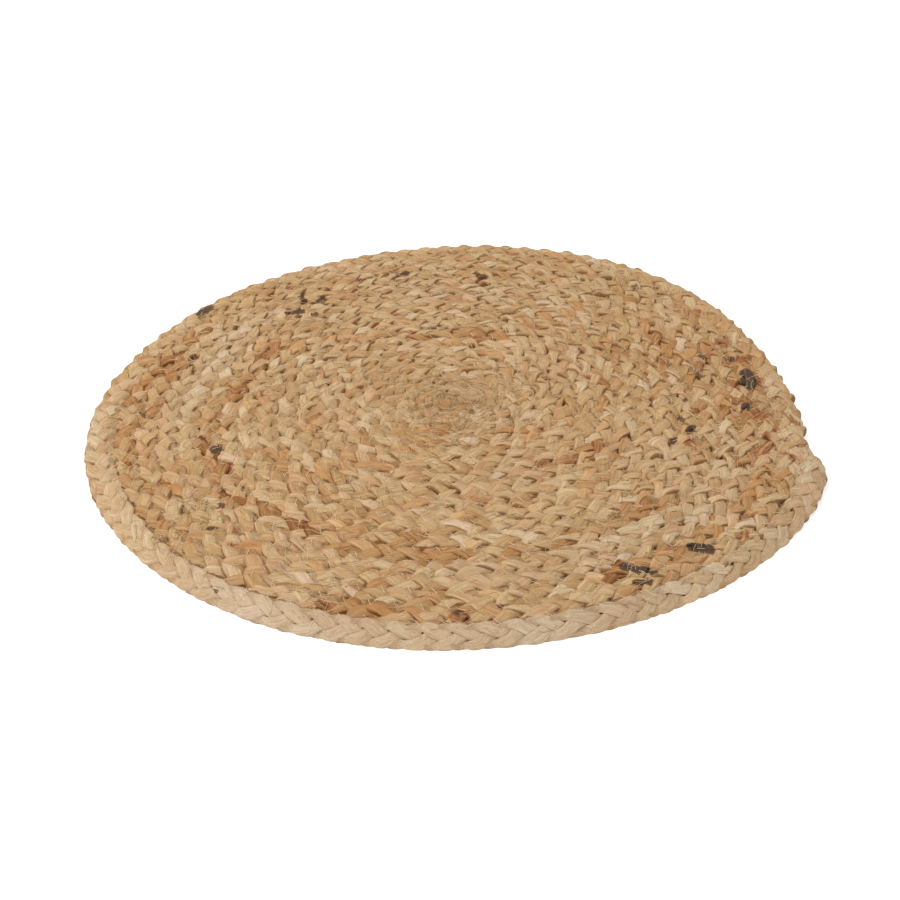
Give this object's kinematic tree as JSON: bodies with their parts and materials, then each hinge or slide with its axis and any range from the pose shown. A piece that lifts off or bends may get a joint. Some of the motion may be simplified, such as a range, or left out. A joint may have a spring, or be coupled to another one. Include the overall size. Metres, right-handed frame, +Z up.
{
  "type": "jute placemat",
  "caption": "Round flat placemat: a thick jute braid wound into a spiral and sewn turn to turn, to lie under a plate on a table.",
  "frame": {"origin": "under the middle of the spiral, on the flat underside", "axes": "+Z up out of the upper face; -Y towards the front edge of the picture's view and +X to its right; the braid winds anticlockwise from the middle and its outer end lies 12 degrees clockwise of +X"},
  "size_m": [0.3766, 0.3836, 0.0089],
  "materials": {
    "jute": "matt undyed jute fibre in tan, cream and brown leaves"
  },
  "bodies": {
    "root": {"braided_mat": "jute"}
  },
  "joints": []
}
